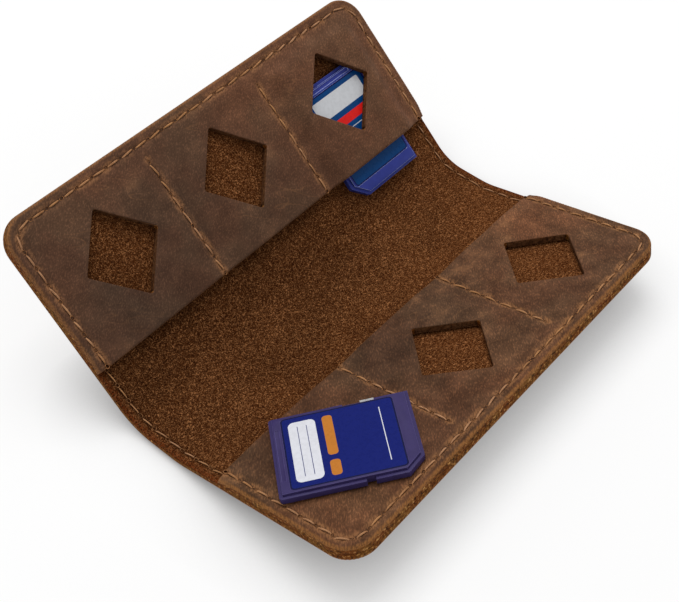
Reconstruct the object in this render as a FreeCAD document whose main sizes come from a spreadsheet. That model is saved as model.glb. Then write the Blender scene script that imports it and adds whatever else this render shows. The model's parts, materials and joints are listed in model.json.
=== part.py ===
import FreeCAD, Part
import Sketcher
import math
import os

from FreeCAD import Placement, Rotation, Vector

# Driving sizes in millimetres, tilts and turns in degrees
SIZES = {
    # the leather sheet, folded along two creases
    "case_length": 120.0,
    "cover_thick": 2.2,
    "corner_radius": 7.0,
    "spine_width": 13.66,
    "right_free": 13.5,
    "left_free": 14.5,
    "right_tilt": 13.76,
    "left_tilt": 42.24,
    "right_bend": 2.0,
    "left_bend": 5.0,
    # the two pocket panels
    "panel_thick": 2.0,
    "pocket_depth": 39.5,
    "end_land": 3.0,
    "pocket_margin": 5.6,
    "divider_land": 4.0,
    "ramp_run": 2.6,
    "empty_room": 0.5,
    "window_length": 22.3,
    "window_depth": 24.1,
    "window_setback": 19.1,
    # the sewing
    "seam_inset": 2.5,
    "divider_stop": 6.5,
    "stitch_pitch": 4.5,
    "stitch_gap": 0.6,
    "stitch_slant": 6.0,
    "thread_width": 0.6,
    "thread_rise": 0.4,
    # a memory card
    "card_length": 32.0,
    "card_width": 24.0,
    "card_thick": 2.1,
    "card_cut": 4.0,
    "card_round": 0.8,
    "ledge_width": 0.8,
    "ledge_height": 1.4,
    "card_wall": 1.6,
    "card_floor": 0.35,
    "card_roof": 0.3,
    "label_length": 25.6,
    "label_width": 20.4,
    "label_thick": 0.1,
    "label_setback": 2.7,
    "label_round": 1.0,
    "grip_setback": 1.15,
    "grip_length": 15.4,
    "grip_width": 1.0,
    "grip_sink": 0.2,
    "notch_depth": 0.9,
    "notch_length": 2.0,
    "notch_setback": 18.8,
    # inside a card
    "board_thick": 0.5,
    "board_room": 0.15,
    "chip_length": 17.0,
    "chip_width": 12.0,
    "chip_setback": 5.0,
    "chip_thick": 0.6,
    "pad_pitch": 2.4,
    "pad_width": 1.5,
    "pad_length": 4.2,
    "pad_thick": 0.12,
    "pad_setback": 2.8,
    "pad_shift": 1.1,
    "pad_room": 0.1,
    # the write-protect slide of a card
    "lock_length": 3.2,
    "lock_depth": 1.1,
    "lock_height": 0.75,
    "lock_travel": 4.0,
    "lock_setback": 17.0,
    "lock_room": 0.06,
    "thumb_width": 0.7,
    "thumb_sink": 0.25,
    # where the two cards lie
    "card_play": 0.25,
    "stored_out": 7.5,
    "loose_turn": 49.5,
}
PAD_COUNT = 8
POCKETS_PER_PANEL = 3
# The flap and the place in its row of the pocket that holds a card
STORED_IN = ("left", POCKETS_PER_PANEL - 1)
# Of a pocket's width beyond its card, what the ramp takes on each side
SIDE_RAMP_SHARE = 0.26

doc = FreeCAD.newDocument("memory_card_case")
sheet = doc.addObject("Spreadsheet::Sheet", "Sizes")
for row, (alias, number) in enumerate(SIZES.items(), start=1):
    sheet.set("A%d" % row, alias)
    sheet.set("B%d" % row, str(number))
    sheet.setAlias("B%d" % row, alias)
doc.recompute()

HALF_LENGTH = "Sizes.case_length / 2"
# The room in a pocket, with a card and without, and the run of the ramps at its sides
POCKET_PITCH = "((Sizes.case_length - 2 * Sizes.end_land) / %d)" % POCKETS_PER_PANEL
POCKET_WIDTH = "(%s - Sizes.divider_land)" % POCKET_PITCH
POCKET_REACH = "(Sizes.pocket_depth - Sizes.pocket_margin)"
CARD_RISE = "(Sizes.card_thick + Sizes.card_play)"
EMPTY_RISE = "Sizes.empty_room"
SIDE_RUN = "(%s * (%s - Sizes.card_width))" % (SIDE_RAMP_SHARE, POCKET_WIDTH)

# A flap's frame: x along the spine, y from the pocket mouth outwards, z up from the cover's inner face
FLAPS = {
    "right": "placement(vector(0; -Sizes.spine_width / 2 - Sizes.right_free * cos(Sizes.right_tilt);"
             " Sizes.cover_thick + Sizes.right_free * sin(Sizes.right_tilt));"
             " rotation(vector(1; 0; 0); -Sizes.right_tilt) * rotation(vector(0; 0; 1); 180))",
    "left": "placement(vector(0; Sizes.spine_width / 2 + Sizes.left_free * cos(Sizes.left_tilt);"
            " Sizes.cover_thick + Sizes.left_free * sin(Sizes.left_tilt));"
            " rotation(vector(1; 0; 0); Sizes.left_tilt))",
}

# A card's frame: x across it, y from its plain end to its contact end, z up to the label
CARDS = {
    "stored_card": FLAPS["left"] + " * placement("
                   "vector(" + POCKET_PITCH + "; Sizes.card_length - Sizes.stored_out; Sizes.card_play / 2);"
                   " rotation(vector(0; 0; 1); 180))",
    "loose_card": FLAPS["right"] + " * placement("
                  "vector(" + POCKET_PITCH + "; Sizes.window_setback; Sizes.panel_thick + " + EMPTY_RISE + ");"
                  " rotation(vector(0; 0; 1); Sizes.loose_turn))"
                  " * placement(vector(0; -Sizes.card_length / 2; 0); rotation(vector(0; 0; 1); 0))",
}

# The row of a card's contacts: its length, its first side and its foot
PAD_ROW = "%d * Sizes.pad_pitch" % (PAD_COUNT - 1)
PAD_START = "-(%s + Sizes.pad_width) / 2 - Sizes.pad_shift" % PAD_ROW
PAD_FOOT = "Sizes.card_length - Sizes.pad_setback - Sizes.pad_length"


def size(alias):
    return float(sheet.get(alias))


def bind(feature, texts):
    for name, text in texts.items():
        feature.setExpression(name, text)


def new_body(name, frame=None):
    owner = doc.addObject("PartDesign::Body", name)
    owner.Label = name
    if frame:
        owner.setExpression("Placement", frame)
    return owner


def origin_part(owner, role):
    return next(part for part in owner.Origin.OriginFeatures if part.Role == role)


def side_of(text):
    if text == "0":
        return 0
    return -1 if text.startswith("-") else 1


def hold(sketch, line, kind, axis, text):
    # A line's start stands on an axis, or at a bound distance on the side that the text's sign gives
    if side_of(text) == 0:
        sketch.addConstraint(Sketcher.Constraint("PointOnObject", line, 1, axis))
        return
    if side_of(text) < 0:
        distance = Sketcher.Constraint(kind, line, 1, -1, 1, 1)
    else:
        distance = Sketcher.Constraint(kind, -1, 1, line, 1, 1)
    index = sketch.addConstraint(distance)
    sketch.setExpression("Constraints[%d]" % index, text.lstrip("-"))


def outline(owner, name, corners, plane="XY_Plane", lift="0"):
    # A closed outline of straight lines, whose corners are all bound
    sketch = owner.newObject("Sketcher::SketchObject", name)
    sketch.AttachmentSupport = [(origin_part(owner, plane), "")]
    sketch.MapMode = "FlatFace"
    sketch.setExpression("AttachmentOffset.Base.z", lift)
    count = len(corners)
    starts = [Vector(side_of(x) * (count + i), side_of(y) * (2 * count - i), 0)
              for i, (x, y) in enumerate(corners)]
    for i in range(count):
        sketch.addGeometry(Part.LineSegment(starts[i], starts[(i + 1) % count]), False)
    for i in range(count):
        sketch.addConstraint(Sketcher.Constraint("Coincident", i, 2, (i + 1) % count, 1))
    for i, (x, y) in enumerate(corners):
        hold(sketch, i, "DistanceX", -2, x)
        hold(sketch, i, "DistanceY", -1, y)
    return sketch


def rectangle(left, bottom, right, top):
    return [(left, bottom), (right, bottom), (right, top), (left, top)]


def pad(owner, sketch, length, downwards=False):
    feature = owner.newObject("PartDesign::Pad", sketch.Name + "_pad")
    feature.Profile = sketch
    feature.Reversed = downwards
    bind(feature, {"Length": length})
    doc.recompute()
    return feature


def pocket(owner, sketch, depth=None):
    # A cut downwards by a depth, or upwards through everything, which has to remove something
    before = owner.Shape.Volume
    feature = owner.newObject("PartDesign::Pocket", sketch.Name + "_cut")
    feature.Profile = sketch
    if depth:
        bind(feature, {"Length": depth})
    else:
        feature.Type = "ThroughAll"
        feature.Reversed = True
    doc.recompute()
    if not owner.Shape.Volume < before:
        raise RuntimeError(sketch.Name + " cut nothing")
    return feature


def block(owner, name, kind, sizes, corner):
    feature = owner.newObject("PartDesign::%sBox" % kind, name)
    bind(feature, dict(zip(("Length", "Width", "Height"), sizes)))
    bind(feature, dict(zip(("Placement.Base.x", "Placement.Base.y", "Placement.Base.z"), corner)))
    doc.recompute()
    return feature


def upright_edges(feature, wanted):
    # Names of the edges along z whose middle passes the test
    names = []
    for number, edge in enumerate(feature.Shape.Edges, start=1):
        span = edge.BoundBox
        if span.ZLength > max(span.XLength, span.YLength) and wanted(span.Center):
            names.append("Edge%d" % number)
    return names


def round_edges(owner, feature, names, radius):
    fillet = owner.newObject("PartDesign::Fillet", feature.Name + "_round")
    fillet.Base = (feature, names)
    bind(fillet, {"Radius": radius})
    doc.recompute()
    return fillet


def repeat(owner, originals, length, count):
    pattern = owner.newObject("PartDesign::LinearPattern", originals[0].Name + "_row")
    pattern.Originals = originals
    pattern.Direction = (origin_part(owner, "X_Axis"), [""])
    bind(pattern, {"Length": length})
    pattern.Occurrences = count
    owner.Tip = pattern
    doc.recompute()
    return pattern


def cover_leaf(side):
    # One flat leaf of the cover, from its crease to its rounded outer corners
    owner = new_body(side + "_cover_leaf", FLAPS[side])
    inner = "-(Sizes.%s_free - Sizes.%s_bend)" % (side, side)
    corners = rectangle("-" + HALF_LENGTH, inner, HALF_LENGTH, "Sizes.pocket_depth")
    leaf = pad(owner, outline(owner, side + "_leaf", corners), "Sizes.cover_thick", downwards=True)
    outer = upright_edges(leaf, lambda middle: middle.y > 0)
    round_edges(owner, leaf, outer, "Sizes.corner_radius")
    return owner


def cover_spine():
    # The flat strip between the creases, which the case stands on
    owner = new_body("cover_spine")
    right = "-(Sizes.spine_width / 2 - Sizes.right_bend)"
    left = "(Sizes.spine_width / 2 - Sizes.left_bend)"
    corners = rectangle("-" + HALF_LENGTH, right, HALF_LENGTH, left)
    pad(owner, outline(owner, "spine_strip", corners), "Sizes.cover_thick")
    return owner


def crease(side, towards):
    # The leather of one crease: its section, turned by the flap's tilt about the middle of the bend
    radius = "(Sizes.%s_bend / tan(Sizes.%s_tilt / 2))" % (side, side)
    middle = "placement(vector(0; %d * (Sizes.spine_width / 2 - Sizes.%s_bend); Sizes.cover_thick + %s);"
    owner = new_body(side + "_crease", middle % (towards, side, radius) + " rotation(vector(0; 0; 1); 0))")
    corners = rectangle("-" + HALF_LENGTH, "0", HALF_LENGTH, "Sizes.cover_thick")
    section = outline(owner, side + "_bend_section", corners, plane="XZ_Plane")
    section.setExpression("AttachmentOffset.Base.y", "-(%s + Sizes.cover_thick)" % radius)
    turned = owner.newObject("PartDesign::Revolution", side + "_bend_turn")
    turned.Profile = section
    turned.ReferenceAxis = (origin_part(owner, "X_Axis"), [""])
    turned.Reversed = towards < 0
    bind(turned, {"Angle": "Sizes.%s_tilt" % side})
    doc.recompute()
    return owner


def ramp_skirt(run, rise):
    # How far the top of a ramp stands outside its underside, for a panel of even thickness
    return "(Sizes.panel_thick * tan(atan(%s / %s) / 2))" % (rise, run)


def pocket_wedge(owner, name, kind, middle, rise, base, side_skirt, end_skirt):
    # A block with sloped sides and a sloped outer end, square at the pocket's mouth
    wedge = owner.newObject("PartDesign::%sWedge" % kind, name)
    half = "(%s / 2 + %s)" % (POCKET_WIDTH, side_skirt)
    reach = "(%s + %s)" % (POCKET_REACH, end_skirt)
    bind(wedge, {
        "Xmin": "%s - %s" % (middle, half),
        "Xmax": "%s + %s" % (middle, half),
        "X2min": "%s - %s + %s" % (middle, half, SIDE_RUN),
        "X2max": "%s + %s - %s" % (middle, half, SIDE_RUN),
        "Ymin": base,
        "Ymax": "%s + %s" % (base, rise),
        "Zmin": "-" + reach,
        "Z2min": "-%s + Sizes.ramp_run" % reach,
        "Zmax": "0",
        "Z2max": "0",
    })
    wedge.Placement = Placement(Vector(), Rotation(Vector(1, 0, 0), 90))
    doc.recompute()
    return wedge


def pocket_panel(side):
    # Three pockets in a row, open at the mouth, each with a diamond window and raised by what it holds
    owner = new_body(side + "_pocket_panel", FLAPS[side])
    corners = rectangle("-" + HALF_LENGTH, "0", HALF_LENGTH, "Sizes.pocket_depth")
    flat = pad(owner, outline(owner, side + "_panel", corners), "Sizes.panel_thick")
    outer = upright_edges(flat, lambda middle: middle.y > size("pocket_depth") / 2)
    round_edges(owner, flat, outer, "Sizes.corner_radius")
    for place in range(POCKETS_PER_PANEL):
        middle = "%s * %s" % (place - (POCKETS_PER_PANEL - 1) / 2, POCKET_PITCH)
        rise = CARD_RISE if (side, place) == STORED_IN else EMPTY_RISE
        pocket_wedge(owner, "%s_raised_%d" % (side, place), "Additive", middle, rise, "Sizes.panel_thick",
                     ramp_skirt(SIDE_RUN, rise), ramp_skirt("Sizes.ramp_run", rise))
        pocket_wedge(owner, "%s_room_%d" % (side, place), "Subtractive", middle, rise, "0", "0", "0")
    along = "Sizes.window_length / 2"
    across = "Sizes.window_depth / 2"
    diamond = outline(owner, side + "_window", [("-" + along, "0"), ("0", "-" + across),
                                                (along, "0"), ("0", across)])
    bind(diamond, {"AttachmentOffset.Base.x": "-" + POCKET_PITCH,
                   "AttachmentOffset.Base.y": "Sizes.window_setback"})
    window = pocket(owner, diamond)
    repeat(owner, [window], "%d * %s" % (POCKETS_PER_PANEL - 1, POCKET_PITCH), POCKETS_PER_PANEL)
    return owner


def stitch(start, end, up):
    # One stitch: a low arch of thread that lies on the leather between two holes, a little aslant
    run = end.sub(start)
    half = (run.Length - size("stitch_gap")) / 2
    width = size("thread_width")
    feet = [Vector(-half, -width / 2, 0), Vector(half, -width / 2, 0)]
    crown = Vector(0, -width / 2, size("thread_rise"))
    profile = Part.Wire([Part.Arc(feet[0], crown, feet[1]).toShape(),
                         Part.LineSegment(feet[1], feet[0]).toShape()])
    solid = Part.Face(profile).extrude(Vector(0, width, 0))
    heading = Rotation(run, Vector(), up, "XZY") * Rotation(Vector(0, 0, 1), size("stitch_slant"))
    solid.Placement = Placement(start.add(end).multiply(1 / 2), heading)
    return solid


def sew(path, up_at):
    # Stitches of about one pitch along a wire
    count = max(1, round(path.Length / size("stitch_pitch")))
    holes = path.discretize(Number=count + 1)
    return [stitch(a, b, up_at(a, b)) for a, b in zip(holes, holes[1:])]


def straight(start, end):
    return Part.Wire([Part.LineSegment(start, end).toShape()])


def straight_up(start, end):
    return Vector(0, 0, 1)


def new_seam(name, stitches, frame=None):
    seam = doc.addObject("Part::Feature", name)
    seam.Label = name
    seam.Shape = Part.makeCompound(stitches)
    if frame:
        seam.setExpression("Placement", frame)
    return seam


def edge_seam(side):
    # Round the outer edge of a panel, and on along the cover towards the crease at both ends
    inset = size("seam_inset")
    end = size("case_length") / 2 - inset
    outer = size("pocket_depth") - inset
    radius = size("corner_radius") - inset
    lift = size("panel_thick")
    diagonal = radius * math.sqrt(1 / 2)
    arcs = [Part.Arc(Vector(turn * end, outer - radius, lift),
                     Vector(turn * (end - radius + diagonal), outer - radius + diagonal, lift),
                     Vector(turn * (end - radius), outer, lift)) for turn in (-1, 1)]
    path = Part.Wire(Part.__sortEdges__([
        Part.LineSegment(Vector(-end, 0, lift), arcs[0].StartPoint).toShape(),
        arcs[0].toShape(),
        Part.LineSegment(arcs[0].EndPoint, arcs[1].EndPoint).toShape(),
        arcs[1].toShape(),
        Part.LineSegment(arcs[1].StartPoint, Vector(end, 0, lift)).toShape(),
    ]))
    stitches = sew(path, straight_up)
    inner = size(side + "_bend") - size(side + "_free")
    for x in (-end, end):
        stitches += sew(straight(Vector(x, inner, 0), Vector(x, 0, 0)), straight_up)
    return new_seam(side + "_edge_seam", stitches, FLAPS[side])


def divider_seams(side):
    # The two lines of stitches between the pockets
    lift = size("panel_thick")
    stop = size("pocket_depth") - size("divider_stop")
    pitch = (size("case_length") - 2 * size("end_land")) / POCKETS_PER_PANEL
    stitches = []
    for x in (-pitch / 2, pitch / 2):
        stitches += sew(straight(Vector(x, 0, lift), Vector(x, stop, lift)), straight_up)
    return new_seam(side + "_divider_seams", stitches, FLAPS[side])


def bend_arc(x, side, towards):
    # The inner face of a crease at one end of the case, from the strip to the leaf
    tilt = math.radians(size(side + "_tilt"))
    radius = size(side + "_bend") / math.tan(tilt / 2)
    middle = Vector(x, towards * (size("spine_width") / 2 - size(side + "_bend")), size("cover_thick") + radius)
    points = [middle.add(Vector(0, towards * radius * math.sin(turn), -radius * math.cos(turn)))
              for turn in (0, tilt / 2, tilt)]
    return Part.Arc(*points)


def spine_seam():
    # The stitches across both ends of the spine, over the creases and the strip between them
    end = size("case_length") / 2 - size("seam_inset")
    stitches = []
    for x in (-end, end):
        right = bend_arc(x, "right", -1)
        left = bend_arc(x, "left", 1)
        strip = Part.LineSegment(right.StartPoint, left.StartPoint)
        path = Part.Wire(Part.__sortEdges__([right.toShape(), strip.toShape(), left.toShape()]))
        stitches += sew(path, lambda a, b: Vector(0, a.z - b.z, b.y - a.y) * math.copysign(1, b.y - a.y))
    return new_seam("spine_seam", stitches)


def card_outline(inset):
    # A card's outline with its cut corner, drawn in by an inset all round
    half = "(Sizes.card_width / 2 - %s)" % inset
    cut = "(Sizes.card_cut - (2 - sqrt(2)) * %s)" % inset
    top = "(Sizes.card_length - %s)" % inset
    return [("-" + half, inset), (half, inset), (half, top + " - " + cut),
            (half + " - " + cut, top), ("-" + half, top)]


def card_lower_shell(name, frame):
    # The contact side: an open tray with slots for the contacts, a lock slot and a notch
    owner = new_body(name + "_lower_shell", frame)
    tray = pad(owner, outline(owner, name + "_tray", card_outline("0")), "Sizes.ledge_height")
    plain_end = upright_edges(tray, lambda middle: middle.y < size("card_length") / 2)
    round_edges(owner, tray, plain_end, "Sizes.card_round")
    room = outline(owner, name + "_room", card_outline("Sizes.card_wall"), lift="Sizes.ledge_height")
    pocket(owner, room, "Sizes.ledge_height - Sizes.card_floor")
    block(owner, name + "_lock_slot", "Subtractive",
          ("Sizes.lock_depth + Sizes.lock_room",
           "Sizes.lock_length + Sizes.lock_travel + 2 * Sizes.lock_room",
           "Sizes.lock_height + Sizes.lock_room"),
          ("-Sizes.card_width / 2", "Sizes.lock_setback",
           "Sizes.ledge_height - Sizes.lock_height - Sizes.lock_room"))
    block(owner, name + "_notch", "Subtractive",
          ("Sizes.notch_depth", "Sizes.notch_length", "Sizes.ledge_height"),
          ("Sizes.card_width / 2 - Sizes.notch_depth", "Sizes.notch_setback", "0"))
    slot = block(owner, name + "_slot", "Subtractive",
                 ("Sizes.pad_width + 2 * Sizes.pad_room", "Sizes.pad_length + 2 * Sizes.pad_room",
                  "Sizes.card_floor"),
                 (PAD_START + " - Sizes.pad_room", PAD_FOOT + " - Sizes.pad_room", "0"))
    repeat(owner, [slot], PAD_ROW, PAD_COUNT)
    return owner


def card_contacts(name, frame):
    owner = new_body(name + "_contacts", frame)
    owner.AllowCompound = True
    first = block(owner, name + "_pad", "Additive",
                  ("Sizes.pad_width", "Sizes.pad_length", "Sizes.pad_thick"),
                  (PAD_START, PAD_FOOT, "Sizes.card_floor - Sizes.pad_thick"))
    repeat(owner, [first], PAD_ROW, PAD_COUNT)
    return owner


def card_board(name, frame):
    owner = new_body(name + "_board", frame)
    inset = "(Sizes.card_wall + Sizes.board_room)"
    plate = outline(owner, name + "_plate", card_outline(inset), lift="Sizes.card_floor")
    pad(owner, plate, "Sizes.board_thick")
    return owner


def card_chip(name, frame):
    owner = new_body(name + "_memory_chip", frame)
    block(owner, name + "_chip", "Additive",
          ("Sizes.chip_width", "Sizes.chip_length", "Sizes.chip_thick"),
          ("-Sizes.chip_width / 2", "Sizes.chip_setback", "Sizes.card_floor + Sizes.board_thick"))
    return owner


def card_upper_shell(name, frame):
    # The label side: a raised lid inside the ledge, with the label's bed, a grip groove and a gap at the lock
    owner = new_body(name + "_upper_shell", frame)
    lid = outline(owner, name + "_lid", card_outline("Sizes.ledge_width"), lift="Sizes.ledge_height")
    pad(owner, lid, "Sizes.card_thick - Sizes.ledge_height")
    block(owner, name + "_chip_room", "Subtractive",
          ("Sizes.card_width - 2 * (Sizes.card_wall + Sizes.ledge_width)",
           "Sizes.card_length - Sizes.card_wall - Sizes.card_cut - Sizes.ledge_width",
           "Sizes.card_thick - Sizes.label_thick - Sizes.card_roof - Sizes.ledge_height"),
          ("-Sizes.card_width / 2 + Sizes.card_wall + Sizes.ledge_width",
           "Sizes.card_wall + Sizes.ledge_width", "Sizes.ledge_height"))
    block(owner, name + "_label_bed", "Subtractive",
          ("Sizes.label_width", "Sizes.label_length", "Sizes.label_thick"),
          ("-Sizes.label_width / 2", "Sizes.label_setback", "Sizes.card_thick - Sizes.label_thick"))
    block(owner, name + "_grip", "Subtractive",
          ("Sizes.grip_length", "Sizes.grip_width", "Sizes.grip_sink"),
          ("-Sizes.grip_length / 2", "Sizes.grip_setback", "Sizes.card_thick - Sizes.grip_sink"))
    block(owner, name + "_lock_gap", "Subtractive",
          ("Sizes.lock_depth + Sizes.lock_room",
           "Sizes.lock_length + Sizes.lock_travel + 2 * Sizes.lock_room",
           "Sizes.card_thick - Sizes.ledge_height"),
          ("-Sizes.card_width / 2", "Sizes.lock_setback", "Sizes.ledge_height"))
    return owner


def card_label(name, frame):
    owner = new_body(name + "_label", frame)
    paper = block(owner, name + "_paper", "Additive",
                  ("Sizes.label_width", "Sizes.label_length", "Sizes.label_thick"),
                  ("-Sizes.label_width / 2", "Sizes.label_setback", "Sizes.card_thick - Sizes.label_thick"))
    round_edges(owner, paper, upright_edges(paper, lambda middle: True), "Sizes.label_round")
    return owner


def card_lock(name, frame):
    # The slide in its slot, pushed towards the contacts, with a dent for a fingernail
    owner = new_body(name + "_lock", frame)
    foot = "Sizes.lock_setback + Sizes.lock_travel + Sizes.lock_room"
    block(owner, name + "_slide", "Additive",
          ("Sizes.lock_depth", "Sizes.lock_length", "Sizes.lock_height"),
          ("-Sizes.card_width / 2", foot, "Sizes.ledge_height - Sizes.lock_height"))
    block(owner, name + "_dent", "Subtractive",
          ("Sizes.thumb_sink", "Sizes.thumb_width", "Sizes.lock_height"),
          ("-Sizes.card_width / 2", foot + " + (Sizes.lock_length - Sizes.thumb_width) / 2",
           "Sizes.ledge_height - Sizes.lock_height"))
    return owner


pieces = [cover_spine(), crease("right", -1), crease("left", 1), spine_seam()]
for flap in FLAPS:
    pieces += [cover_leaf(flap), pocket_panel(flap), edge_seam(flap), divider_seams(flap)]
for card, card_frame in CARDS.items():
    for make in (card_lower_shell, card_contacts, card_board, card_chip, card_upper_shell, card_label,
                 card_lock):
        pieces.append(make(card, card_frame))
doc.recompute()

for item in doc.Objects:
    if "Invalid" in item.State or "Error" in item.State:
        raise RuntimeError("%s failed: %s" % (item.Name, item.State))
for piece in pieces:
    if piece.Shape.isNull() or not piece.Shape.isValid():
        raise RuntimeError(piece.Label + " has no valid shape")

os.makedirs("parts", exist_ok=True)
for piece in pieces:
    piece.Shape.exportStep("parts/%s.step" % piece.Label)
    print(piece.Label, len(piece.Shape.Solids), round(piece.Shape.Volume, 2))
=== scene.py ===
import bmesh
import bpy
import json
import math
import numpy as np
from mathutils import Matrix, Vector, geometry, noise


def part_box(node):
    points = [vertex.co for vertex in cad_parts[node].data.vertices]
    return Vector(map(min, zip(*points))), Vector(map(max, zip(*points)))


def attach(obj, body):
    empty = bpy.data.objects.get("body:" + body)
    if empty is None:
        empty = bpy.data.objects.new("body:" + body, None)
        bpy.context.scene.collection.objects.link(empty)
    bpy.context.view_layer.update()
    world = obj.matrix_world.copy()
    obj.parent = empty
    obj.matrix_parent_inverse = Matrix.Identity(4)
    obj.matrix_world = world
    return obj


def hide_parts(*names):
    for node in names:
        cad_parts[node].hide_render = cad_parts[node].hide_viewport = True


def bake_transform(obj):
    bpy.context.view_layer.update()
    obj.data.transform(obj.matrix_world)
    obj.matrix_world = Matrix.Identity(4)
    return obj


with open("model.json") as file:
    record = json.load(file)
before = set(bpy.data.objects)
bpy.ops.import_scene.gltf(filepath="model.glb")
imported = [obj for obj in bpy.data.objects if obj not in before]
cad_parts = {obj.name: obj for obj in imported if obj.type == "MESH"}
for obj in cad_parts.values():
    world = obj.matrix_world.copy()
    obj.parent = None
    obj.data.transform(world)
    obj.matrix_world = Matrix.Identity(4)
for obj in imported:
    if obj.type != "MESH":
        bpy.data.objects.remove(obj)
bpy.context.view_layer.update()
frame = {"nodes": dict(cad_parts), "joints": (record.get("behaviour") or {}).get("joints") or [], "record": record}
joints = {joint["name"]: joint for joint in frame["joints"]}
mounts = {mount["name"]: mount for mount in frame["record"]["mounts"]}
mm = 0.001
print("frame loaded:", len(frame["nodes"]), "nodes")

# the leather as the CAD part has it, in millimetres
case = {
    "length": 120.0,
    "cover": 2.2,
    "panel": 2.0,
    "depth": 39.5,
    "corner": 7.0,
    "pitch": 38.0,
    "room": 0.5,
    "seamInset": 2.5,
    "dividerStop": 6.5,
    "windowLength": 22.3,
    "windowDepth": 24.1,
    "windowSetback": 19.1,
    "windowEase": 0.7,
}
halfLength = case["length"] / 2
pocketMiddles = [k * case["pitch"] for k in (-1, 0, 1)]
dividerPlaces = [k * case["pitch"] / 2 for k in (-1, 1)]
dividerEnd = case["depth"] - case["dividerStop"]


def flapFrame(side):
    # a flap's own axes, from its middle pocket's mouth and its fold
    mouth = mounts[side + "_middle_pocket"]
    outward = -Vector(mouth["axis"]).normalized()
    along = Vector((-1 if side == "right" else 1, 0, 0))
    up = along.cross(outward)
    fold = joints[side + "_fold"]
    pivot = Vector(fold["pos_m"]) / mm
    base = Vector(mouth["pos_m"]) / mm - up * case["room"] / 2
    tilt = math.radians(-fold["range_deg"][0])
    strip = [corner.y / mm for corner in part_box("cover_spine")]
    bend = abs(strip[0 if side == "right" else 1] - pivot.y)
    radius = bend / math.tan(tilt / 2)
    flat = (strip[1] - strip[0]) / 2
    bendEnd = flat + radius * tilt
    mouthRun = bendEnd + ((base - pivot).dot(outward) - bend)
    return {
        "body": side + "_half",
        "along": along,
        "outward": outward,
        "up": up,
        "base": base,
        "way": 1 if outward.y > 0 else -1,
        "tilt": tilt,
        "radius": radius,
        "middle": sum(strip) / 2,
        # lengths along the leather, out from the middle of the spine
        "flat": flat,
        "bendEnd": bendEnd,
        "mouthRun": mouthRun,
        "reach": mouthRun + case["depth"],
    }


flaps = {side: flapFrame(side) for side in ("right", "left")}


def onPanel(flap, x, y, n):
    # x along the case, y out from the pocket mouth, n above the cover's inner face
    axes = np.array([flap["along"], flap["outward"], flap["up"]])
    return np.array(flap["base"]) + np.stack([x, y, n], axis=-1) @ axes


def coverTurn(flap, run):
    return np.clip((run - flap["flat"]) / flap["radius"], 0, flap["tilt"])


def onCover(flap, x, run, n):
    # x along the case, run out from the middle of the spine and over the bend, n above the inner face
    turn = coverTurn(flap, run)
    past = np.maximum(run - flap["bendEnd"], 0)
    depth = flap["radius"] - n
    out = np.minimum(run, flap["flat"]) + depth * np.sin(turn) + past * np.cos(turn)
    z = case["cover"] + flap["radius"] - depth * np.cos(turn) + past * np.sin(turn)
    return np.stack([flap["along"].x * x, flap["middle"] + flap["way"] * out, z], axis=-1)


def coverUp(flap, run):
    turn = coverTurn(flap, run)
    return np.stack([np.zeros_like(run), -flap["way"] * np.sin(turn), np.cos(turn)], axis=-1)


def smooth(t):
    t = np.clip(t, 0, 1)
    return t * t * (3 - 2 * t)


def waves(points, size, shift):
    # smooth noise from -1 to 1 at places in millimetres
    return np.array([noise.noise(Vector(p) / size + Vector((shift, 0, 0))) for p in points])


def dent(away, depth, size):
    return depth * np.exp(-(away / size) ** 2)


def addObject(name, data):
    piece = bpy.data.objects.new(name, data)
    bpy.context.scene.collection.objects.link(piece)
    return piece


def meshFrom(shape, name):
    mesh = bpy.data.meshes.new(name)
    shape.to_mesh(mesh)
    shape.free()
    return mesh


# node helpers

class Wire:
    # a node's output: each sum, product or spread of it adds a node to its tree
    def __init__(self, node, output=0):
        self.socket = node.outputs[output]
        self.tree = node.id_data

    def reckon(self, operation, other=0.0):
        return addWire(self.tree, "ShaderNodeMath", {0: self, 1: other}, operation=operation)

    def __add__(self, other):
        return self.reckon("ADD", other)

    def __sub__(self, other):
        return self.reckon("SUBTRACT", other)

    def __mul__(self, other):
        return self.reckon("MULTIPLY", other)

    def __truediv__(self, other):
        return self.reckon("DIVIDE", other)

    def spread(self, low, high, toLow=0.0, toHigh=1.0):
        # a soft step that takes one range of values to another
        values = {"Value": self, "From Min": low, "From Max": high, "To Min": toLow, "To Max": toHigh}
        return addWire(self.tree, "ShaderNodeMapRange", values, interpolation_type="SMOOTHSTEP")


def plug(tree, value, socket):
    # a wire is linked, any other value is set
    if isinstance(value, Wire):
        tree.links.new(value.socket, socket)
    else:
        socket.default_value = value


def addNode(tree, kind, inputs=None, **settings):
    node = tree.nodes.new(kind)
    for key, value in settings.items():
        setattr(node, key, value)
    for key, value in (inputs or {}).items():
        plug(tree, value, node.inputs[key])
    return node


def addWire(tree, kind, inputs=None, output=0, **settings):
    return Wire(addNode(tree, kind, inputs, **settings), output)


def newGroup(name, kind, inputs, outputs):
    # inputs and outputs list the names of their sockets by type
    tree = bpy.data.node_groups.new(name, kind)
    for way, sockets in (("INPUT", inputs), ("OUTPUT", outputs)):
        for socketType, labels in sockets.items():
            for label in labels:
                tree.interface.new_socket(label, in_out=way, socket_type="NodeSocket" + socketType)
    start, end = tree.nodes.new("NodeGroupInput"), tree.nodes.new("NodeGroupOutput")
    return tree, {label: Wire(start, label) for labels in inputs.values() for label in labels}, end.inputs


def tint(red, green, blue):
    # a colour as seen on a screen, 0 to 255, as the shader wants it
    parts = []
    for part in (red, green, blue):
        level = part / 255
        parts.append(level / 12.92 if level <= 0.04045 else ((level + 0.055) / 1.055) ** 2.4)
    return (*parts, 1.0)


def tinted(look):
    return {key: tint(*value) if isinstance(value, tuple) else value for key, value in look.items()}


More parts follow.
